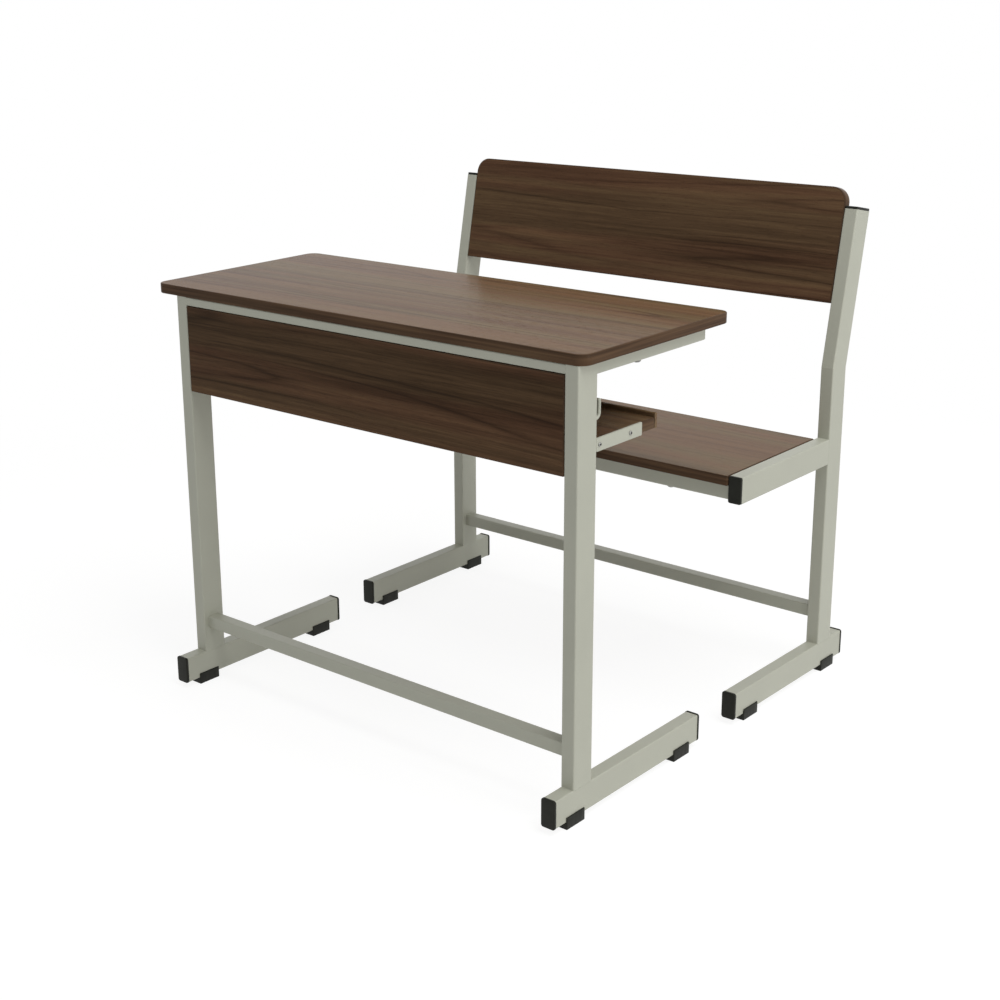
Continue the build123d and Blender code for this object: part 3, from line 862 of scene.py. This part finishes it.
def cut(shape, cutter, name):
    """Mesh of a screw's dome with its recess taken out of it, and the recess marked on its faces for
    painted shade.
    """
    modifier = shape.modifiers.new("Recess", "BOOLEAN")
    modifier.object = cutter
    modifier.operation = "DIFFERENCE"
    modifier.solver = "EXACT"
    modifier.use_self = True
    mesh = evaluated(shape, name)
    bpy.data.objects.remove(cutter)
    form = bmesh.new()
    form.from_mesh(mesh)
    # mark the faces inside the recess, which get painted shade
    deep = form.faces.layers.float.new("recess")
    for face in form.faces:
        middle = face.calc_center_median()
        radius = middle.xy.length
        if radius < RECESS_HALF[0] + 0.01 and dome_rise(radius) + 0.02 < middle.z < -0.1:
            face[deep] = 1.0
    smoothed(form)
    return closed(form, mesh)


def screw_head():
    """Domed head with a tapered cross recess."""
    arc = [radians(90 - 7.5 * step) for step in range(11)]
    profile = [(0.02, -1.0)] + [(0.5 * cos(turn), -HEAD_RIM - HEAD_DOME * sin(turn)) for turn in arc[1:]]
    profile += [(0.5, -0.10), (0.485, 0.0), (0.2, 0.0)]
    dome = helper("screw_dome", turned_shape("screw_dome", profile[::-1], 32))
    form = bmesh.new()
    x, y = RECESS_HALF
    mouth = [Vector((x, y, RECESS_MOUTH)), Vector((-x, y, RECESS_MOUTH))]
    mouth += [Vector((-x, -y, RECESS_MOUTH)), Vector((x, -y, RECESS_MOUTH))]
    floor = [Vector((x * RECESS_TAPER[0], y * RECESS_TAPER[1], RECESS_FLOOR)) for x, y, _ in mouth]
    for turn in (0, pi / 2):
        spin = Matrix.Rotation(turn, 4, "Z")
        loft(form, [[spin @ point for point in ring] for ring in (mouth, floor)])
    bmesh.ops.recalc_face_normals(form, faces=form.faces)
    cutter = helper("screw_recess", closed(form, bpy.data.meshes.new("screw_recess")))
    return helper("screw_head", cut(dome, cutter, "screw_head"))


def screw_shank():
    """Threaded shank one wide and one long, with a point."""
    turns, thread, first = 14, 0.74, 0.12
    core, crest, pitch = 0.36, 0.5, thread / turns
    profile = [(0.02, -0.02), (0.42, -0.02)]
    for step in range(turns):
        start = first + thread * step / turns
        profile += [(core, start), (crest, start + 0.4 * pitch), (core, start + 0.8 * pitch)]
    profile += [(0.34, 0.87), (0.18, 0.94), (0.02, 1.0)]
    return helper("screw_shank", turned_shape("screw_shank", profile, 16))


class SCHOOLDESK_OT_screws(bpy.types.Operator):
    """Set the screws of the top, the shelf, the panel, the seat and the backrest"""

    bl_idname = "schooldesk.screws"
    bl_label = "Screws"

    def execute(self, context):
        steel = settings("steel")
        tree, shapes = screw_tree(), {"Head": screw_head(), "Shank": screw_shank()}
        truss = (steel.truss_head, steel.truss_height, steel.truss_shank)
        pan = (steel.pan_head, steel.pan_height, steel.pan_shank)
        sets = (
            ("desk_top_screws", "desk", truss),
            ("shelf_screws", "desk", pan),
            ("panel_screws", "desk", pan),
            ("seat_screws", "bench", truss),
            ("backrest_screws", "bench", pan),
        )
        for index, (name, body, (across, rise, core)) in enumerate(sets):
            values = {"Head diameter": across, "Head height": rise, "Shank diameter": core}
            values |= {"Seed": index, "Material": kept(zinc_plate), **shapes}
            points = points_mesh(f"{name}_places", screw_marks(name, rise))
            put(f"{name}_set", grown(f"{name}_set", points, tree, values), body, [name])
        for shape in shapes.values():
            bpy.data.objects.remove(shape)
        return {"FINISHED"}


# Weld beads

def bead_tree():
    """Weld beads swept along lines, each with its own radius, with the slight waves of a welder's hand."""
    inputs = {"Wave length": "Float", "Wave height": "Float", "Material": "Material"}
    layout = Layout("Weld beads", inputs)
    lines = layout.node("GeometryNodeMeshToCurve", {"Mesh": layout.given("Geometry")})
    even = layout.node("GeometryNodeResampleCurve", {"Curve": lines, "Length": BEAD_STEP}, mode="LENGTH")
    reach = layout.node("GeometryNodeSplineParameter", out="Length")
    turns = reach / layout.given("Wave length") * (2 * pi)
    wave = layout.math("SINE", turns) * layout.given("Wave height")
    size = {"Resolution": 10, "Radius": 1.0}
    ring = layout.node("GeometryNodeCurvePrimitiveCircle", size, mode="RADIUS")
    thick = layout.stored("radius") + wave
    return layout.finish(layout.swept(even, ring, {"Scale": thick, "Fill Caps": True}))


def seam(middle, across, along, size, bead, corner=TUBE_CORNER, open_top=False):
    """Line of a weld round a tube's end, from the tube's middle, two directions and its outer sizes.

    The line runs inside the tube's outline, so that the bead stands out a fifth of its radius.
    With an open top there is no weld at the end of the second direction.
    """
    middle, across, along = Vector(middle), Vector(across), Vector(along)
    width, height = (part - BEAD_INSET * bead for part in size)
    corners = rounded_ring(width, height, corner, 0.0, 3)
    ring = [middle + across * x + along * y for x, y, _ in corners]
    if not open_top:
        return ring + [ring[0]], bead
    welded = [(point - middle).dot(along) < height / 2 - 1e-6 for point in ring]
    start = next(index for index in range(len(ring)) if welded[index] and not welded[index - 1])
    order = [(start + index) % len(ring) for index in range(len(ring))]
    return [ring[index] for index in order if welded[index]], bead


def tube_end(node, axis, at, bead, open_top=False):
    """Weld line round the end of a straight piece of steel that runs along an axis and ends at a place."""
    low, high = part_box(node)
    middle, span = (low + high) / 2, high - low
    middle["XYZ".index(axis)] = at
    others = ["XYZ".index(other) for other in "XYZ" if other != axis]
    directions = [Vector([float(index == other) for index in range(3)]) for other in others]
    size = [span[other] for other in others]
    corner = max(THIN_CORNER, min(TUBE_CORNER, min(size) / 2 - bead))
    return seam(middle, *directions, size, bead, corner, open_top)


def desk_seams(steel):
    """Weld lines of the desk's frame."""
    lines = []
    for side, facing in (("left", 1), ("right", 0)):
        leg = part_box(f"desk_leg_{side}")
        inner = leg[facing].x
        lines.append(tube_end(f"desk_leg_{side}", "Z", leg[0].z, steel.bead))
        lines.append(tube_end("desk_stretcher", "X", inner, steel.bead))
        lines.append(tube_end("desk_front_rail", "X", inner, steel.bead, open_top=True))
        lines.append(tube_end(f"desk_arm_{side}", "Y", leg[1].y, steel.bead, open_top=True))
        lines.append(tube_end(f"shelf_bar_{side}", "Y", leg[1].y, steel.thin_bead))
        low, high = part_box(f"bag_hook_{side}")
        size = high.x - low.x
        middle = ((low.x + high.x) / 2, leg[1].y, low.z + size / 2)
        welded = (size + steel.thin_bead,) * 2
        lines.append(seam(middle, (1, 0, 0), (0, 0, 1), welded, steel.thin_bead, size / 2))
    return lines


def bench_seams(steel):
    """Weld lines of the bench's frame."""
    lines = []
    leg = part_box("desk_leg_left")
    depth = leg[1].y - leg[0].y
    for side, facing in (("left", 1), ("right", 0)):
        low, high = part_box(f"bench_upright_{side}")
        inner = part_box(f"seat_arm_{side}")[facing].x
        middle = ((low.x + high.x) / 2, low.y + depth / 2, low.z)
        lines.append(seam(middle, (1, 0, 0), (0, 1, 0), (high.x - low.x, depth), steel.bead))
        lines.append(tube_end(f"seat_arm_{side}", "Y", low.y, steel.bead))
        lines.append(tube_end("bench_stretcher", "X", inner, steel.bead))
        for rail in ("seat_front_rail", "seat_rear_rail"):
            lines.append(tube_end(rail, "X", inner, steel.bead, open_top=True))
    return lines


class SCHOOLDESK_OT_welds(bpy.types.Operator):
    """Lay a painted weld bead round the end of each tube that meets another"""

    bl_idname = "schooldesk.welds"
    bl_label = "Weld beads"

    def execute(self, context):
        steel = settings("steel")
        values = {"Wave length": steel.wave_length, "Wave height": steel.wave_height}
        values["Material"] = kept(powder_coat)
        tree = bead_tree()
        for group, lines in (("desk", desk_seams(steel)), ("bench", bench_seams(steel))):
            marks, edges = [], []
            for line, radius in lines:
                start = len(marks)
                marks += [{"at": point, "radius": radius} for point in line]
                edges += [(start + index, start + index + 1) for index in range(len(line) - 1)]
            mesh = points_mesh(f"{group}_seams", marks, edges)
            put(f"{group}_welds", grown(f"{group}_welds", mesh, tree, values), group, [])
        return {"FINISHED"}


# Plastic

def moulding_tree():
    """Copies of one moulded shape on points, each with its own turn."""
    layout = Layout("Mouldings", {"Shape": "Object", "Material": "Material"})
    inputs = {"Points": layout.points(), "Instance": layout.shape("Shape")}
    inputs["Rotation"] = layout.stored("turn", "FLOAT_VECTOR")
    return layout.finish(layout.node("GeometryNodeInstanceOnPoints", inputs))


def moulded(name, shape, marks, body, nodes):
    """Piece of copies of a moulded shape on its marks, for which the shape is given up."""
    values = {"Shape": shape, "Material": kept(black_moulded_plastic)}
    mesh = grown(name, points_mesh(f"{name}_places", marks), moulding_tree(), values)
    put(name, mesh, body, nodes)
    bpy.data.objects.remove(shape)


def cap_shape(name, lip):
    """Cap with a rounded, slightly crowned face and a ribbed hollow plug, facing +Z from the tube's end."""
    sizes = settings("plastic")
    low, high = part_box("desk_leg_left")
    width, depth = high.x - low.x + 2 * lip, high.y - low.y + 2 * lip
    corner, rim = sizes.cap_corner + lip, sizes.cap_round
    groove, rib, first, pitch = 0.0002, 0.00015, 0.0025, 0.0036
    play, wall, floor, bottom = 0.0002, 0.0016, -0.001, -sizes.plug_length
    plug = lip + TUBE_WALL + play
    hollow = plug + wall
    rim_steps, crown_steps, rings = 6, 7, []

    def ring(inset, rise, radius):
        rings.append(rounded_ring(width - 2 * inset, depth - 2 * inset, radius, rise))

    ring(width / 2 - 0.001, floor, 0.0006)
    ring(hollow, floor, 0.0008)
    ring(hollow, bottom, 0.0008)
    ring(plug + 0.0006, bottom, 0.001)
    ring(plug + groove, bottom + 0.001, 0.001)
    for index in range(3):
        start = bottom + first + pitch * index
        ring(plug + groove, start, 0.001)
        ring(plug - rib, start + 0.0003, 0.0012)
        ring(plug - rib, start + 0.0009, 0.0012)
        ring(plug + groove, start + 0.0014, 0.001)
    ring(plug + groove, 0.0, 0.001)
    ring(0.0001, 0.0, corner)
    ring(0.0, 0.0002, corner)
    top = sizes.cap_head - sizes.cap_crown
    for step in range(rim_steps + 1):
        turn = step * pi / (2 * rim_steps)
        inset = rim * (1 - cos(turn))
        ring(inset, top - rim + rim * sin(turn), max(0.0006, corner - inset))
    for step in range(1, crown_steps):
        part = step / crown_steps
        rise = top + sizes.cap_crown * (1 - (1 - part) ** 2)
        ring(rim + part * (width / 2 - rim), rise, max(0.0004, 0.0018 * (1 - part)))
    form = bmesh.new()
    loft(form, rings)
    return helper(name, shaded(form, name))


def glide_shape(name):
    """Saddle glide, standing on z = 0: a grooved sole, two lips up the runner's sides and a peg."""
    sizes = settings("plastic")
    low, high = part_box("desk_glide_front_left")
    width, reach, height = high - low
    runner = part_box("desk_runner_left")
    inner = (runner[1].x - runner[0].x) / 2
    sole, half, tread, groove = sizes.glide_sole, width / 2, sizes.tread, 0.004

    def section(y, rise):
        points = ((half, rise), (half, height), (inner, height), (inner, sole))
        left = [(-x, y, z) for x, z in reversed(points)]
        return [left[-1], *((x, y, z) for x, z in points), *left[:-1]]

    rings = [section(-reach / 2, 0.0)]
    for index in range(sizes.treads):
        middle = reach * ((index + 1) / (sizes.treads + 1) - 0.5)
        rings.append(section(middle - groove / 2, 0.0))
        rings.append(section(middle - groove / 2 + tread, tread))
        rings.append(section(middle + groove / 2 - tread, tread))
        rings.append(section(middle + groove / 2, 0.0))
    rings.append(section(reach / 2, 0.0))
    form = bmesh.new()
    loft(form, rings)
    bmesh.ops.remove_doubles(form, verts=form.verts, dist=1e-7)
    bmesh.ops.recalc_face_normals(form, faces=form.faces)
    sharp = []
    for edge in form.edges:
        ends = [vertex.co for vertex in edge.verts]
        outer = all(abs(abs(co.x) - half) < 1e-6 or abs(abs(co.y) - reach / 2) < 1e-6 for co in ends)
        grooved = any(0 < co.z < sole - 1e-6 for co in ends)
        if outer and not grooved and edge.is_manifold and edge.calc_face_angle(0) > radians(60):
            sharp.append(edge)
    bevel = {"offset": sizes.glide_round, "segments": 3, "profile": 0.5, "affect": "EDGES"}
    bmesh.ops.bevel(form, geom=sharp, clamp_overlap=True, **bevel)
    # the peg's radii and its heights above the sole
    peg = ((0.0038, -0.001), (0.0040, 0.0002), (0.0040, 0.0048), (0.0032, 0.006))
    loft(form, [circle(radius, sole + rise, 20) for radius, rise in peg])
    return helper(name, shaded(form, name))


def cap_mark(name, end):
    """Point for a cap at the front end (0) or the rear end (1) of a straight tube."""
    at = middle_of(name)
    at.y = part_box(name)[end].y
    return mark(at, Vector((0, 2 * end - 1, 0)))


def runner_cap_marks(group):
    """Places and turns of the caps at the ends of one group's runners, and their nodes."""
    marks = [cap_mark(f"{group}_runner_{side}", end) for end in (0, 1) for side in SIDES]
    return marks, [f"{group}_cap_{end}_{side}" for end in ENDS for side in SIDES]


def bench_cap_marks():
    """Places and turns of the caps on the seat arms and on the uprights, and their nodes."""
    marks = [cap_mark(f"seat_arm_{side}", 0) for side in SIDES]
    lean = settings("boards").lean
    slope = Vector((0, sin(lean), cos(lean)))
    front = Vector((0, -cos(lean), sin(lean)))
    for solid in islands("upright_caps"):
        reach = max(point.dot(slope) for point in solid)
        sides = [point.dot(front) for point in solid]
        across = [point.x for point in solid]
        at = slope * (reach - settings("plastic").cap_head) + front * ((max(sides) + min(sides)) / 2)
        at.x = (max(across) + min(across)) / 2
        marks.append(mark(at, slope))
    return marks, ["seat_arm_caps", "upright_caps"]


class SCHOOLDESK_OT_caps(bpy.types.Operator):
    """Close the tubes' ends with black caps"""

    bl_idname = "schooldesk.caps"
    bl_label = "End caps"

    def execute(self, context):
        lip = settings("plastic").cap_lip
        for group in GROUPS:
            name = f"{group}_runner_caps"
            marks, nodes = runner_cap_marks(group)
            moulded(name, cap_shape(f"{name}_shape", lip), marks, group, nodes)
        marks, nodes = bench_cap_marks()
        moulded("bench_tube_caps", cap_shape("bench_tube_caps_shape", 0.0), marks, "bench", nodes)
        return {"FINISHED"}


class SCHOOLDESK_OT_glides(bpy.types.Operator):
    """Stand both frames on black saddle glides"""

    bl_idname = "schooldesk.glides"
    bl_label = "Glides"

    def execute(self, context):
        for group in GROUPS:
            names = [f"{group}_glide_{end}_{side}" for end in ENDS for side in SIDES]
            marks = []
            for name in names:
                at = middle_of(name)
                at.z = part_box(name)[0].z
                marks.append(mark(at, Vector((0, 0, 1))))
            moulded(f"{group}_glides", glide_shape("glide_shape"), marks, group, names)
        return {"FINISHED"}


# Stage

def seen_white(graph):
    """1 for rays from the camera, off gloss or through glass, else 0."""
    kinds = ("Camera", "Glossy", "Transmission")
    camera, glossy, through = (graph.node("ShaderNodeLightPath", out=f"Is {kind} Ray") for kind in kinds)
    return graph.math("MAXIMUM", camera, graph.math("MAXIMUM", glossy, through))


def floor_finish(stage):
    """Pale floor that looks plain white, but for the soft shadow close to the object."""
    finish = Finish("pale_floor")
    here = finish.node("ShaderNodeTexCoord", out="Object")
    away = finish.vector("LENGTH", here, out=1)
    plain = away.step(0.6 * stage.shadow_reach, stage.shadow_reach)
    matt = finish.node("ShaderNodeBsdfDiffuse", {"Color": (*stage.floor_colour, 1)})
    lift, glow = (
        finish.node("ShaderNodeEmission", {"Color": (1, 1, 1, 1), "Strength": strength})
        for strength in (stage.shadow_lift, 1.0)
    )
    shade = finish.node("ShaderNodeAddShader", {0: matt, 1: lift})
    white = 1 - stage.shadow_depth * (1 - plain)
    seen = finish.node("ShaderNodeMixShader", {0: white, 1: shade, 2: glow})
    return finish.done(finish.node("ShaderNodeMixShader", {0: seen_white(finish), 1: matt, 2: seen}))


def set_camera(scene, stage):
    """Camera of the photo's view."""
    view = bpy.data.cameras.new("photo_view")
    view.sensor_width = 36
    view.clip_end = 100
    view.lens, view.shift_x, view.shift_y = stage.lens, stage.shift_x, stage.shift_y
    scene.camera = helper("photo_view", view)
    scene.camera.location = stage.camera_place
    turn = Matrix.Rotation(stage.azimuth, 3, "Z") @ Matrix.Rotation(pi / 2 - stage.elevation, 3, "X")
    scene.camera.rotation_euler = (turn @ Matrix.Rotation(stage.roll, 3, "Z")).to_euler()


def set_floor(stage):
    """Round floor under the object."""
    form = bmesh.new()
    bmesh.ops.create_circle(form, cap_ends=True, cap_tris=True, segments=64, radius=stage.floor_radius)
    mesh = closed(form, bpy.data.meshes.new("pale_floor"))
    mesh.materials.append(floor_finish(stage))
    floor = helper("pale_floor", mesh)
    floor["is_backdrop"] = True


def set_lamp(name, size, strength, at, aim):
    """Soft square lamp at a place, turned to a point."""
    light = bpy.data.lights.new(name, "AREA")
    light.shape = "SQUARE"
    light.size = size
    light.energy = strength
    made = helper(name, light)
    made.location = at
    made.rotation_euler = (Vector(aim) - Vector(at)).to_track_quat("-Z", "Y").to_euler()


def set_surround(scene, stage):
    """Even light from all round, which looks plain white."""
    world = bpy.data.worlds.new("white_surround")
    world.use_nodes = True
    scene.world = world
    sky = Graph(world.node_tree)
    strength = stage.sky_strength + (1 - stage.sky_strength) * seen_white(sky)
    glow = sky.node("ShaderNodeBackground", {"Color": (1, 1, 1, 1), "Strength": strength})
    sky.end("ShaderNodeOutputWorld", "Surface", glow)


class SCHOOLDESK_OT_stage(bpy.types.Operator):
    """Set the camera, the lamps, the pale floor and the white surround"""

    bl_idname = "schooldesk.stage"
    bl_label = "Stage"

    def execute(self, context):
        stage = settings("stage")
        set_camera(context.scene, stage)
        set_floor(stage)
        set_lamp("key_lamp", stage.key_size, stage.key_strength, stage.key_place, stage.key_aim)
        set_lamp("fill_lamp", stage.fill_size, stage.fill_strength, stage.fill_place, stage.fill_aim)
        set_surround(context.scene, stage)
        context.scene.view_settings.view_transform = "Standard"
        return {"FINISHED"}


# Panel

OPERATORS = (SCHOOLDESK_OT_stage, SCHOOLDESK_OT_boards, SCHOOLDESK_OT_frames, SCHOOLDESK_OT_welds)
OPERATORS += (SCHOOLDESK_OT_screws, SCHOOLDESK_OT_caps, SCHOOLDESK_OT_glides)
SETTINGS = {
    "schooldesk_stage": SCHOOLDESK_PG_stage,
    "schooldesk_laminate": SCHOOLDESK_PG_laminate,
    "schooldesk_steel": SCHOOLDESK_PG_steel,
    "schooldesk_plastic": SCHOOLDESK_PG_plastic,
    "schooldesk_boards": SCHOOLDESK_PG_boards,
}


class SCHOOLDESK_PT_panel(bpy.types.Panel):
    """Settings and steps of the school desk"""

    bl_idname = "SCHOOLDESK_PT_panel"
    bl_label = "School desk"
    bl_space_type = "VIEW_3D"
    bl_region_type = "UI"
    bl_category = "School desk"

    def draw(self, context):
        for name, group in SETTINGS.items():
            box = self.layout.box()
            for key in group.__annotations__:
                box.prop(getattr(context.scene, name), key, text=key.replace("_", " ").capitalize())
        for operator in OPERATORS:
            self.layout.operator(operator.bl_idname)


def register():
    """Register the classes and hang the settings on the scene."""
    for made in (*SETTINGS.values(), *OPERATORS, SCHOOLDESK_PT_panel):
        bpy.utils.register_class(made)
    for name, group in SETTINGS.items():
        setattr(bpy.types.Scene, name, PointerProperty(type=group))


def unregister():
    """Take the settings off the scene and drop the classes."""
    for name in SETTINGS:
        delattr(bpy.types.Scene, name)
    for made in (SCHOOLDESK_PT_panel, *reversed(OPERATORS), *SETTINGS.values()):
        bpy.utils.unregister_class(made)


def main():
    """Make everything in order and work out the sizes before and after."""
    register()
    bpy.ops.schooldesk.stage()
    bpy.ops.schooldesk.boards()
    bpy.ops.schooldesk.frames()
    bpy.ops.schooldesk.welds()
    bpy.ops.schooldesk.screws()
    bpy.ops.schooldesk.caps()
    bpy.ops.schooldesk.glides()
    boxes = {"cad": cad_box, "visual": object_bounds()}
    plain = {name: [[float(part) for part in corner] for corner in box] for name, box in boxes.items()}


if __name__ == "__main__":
    main()
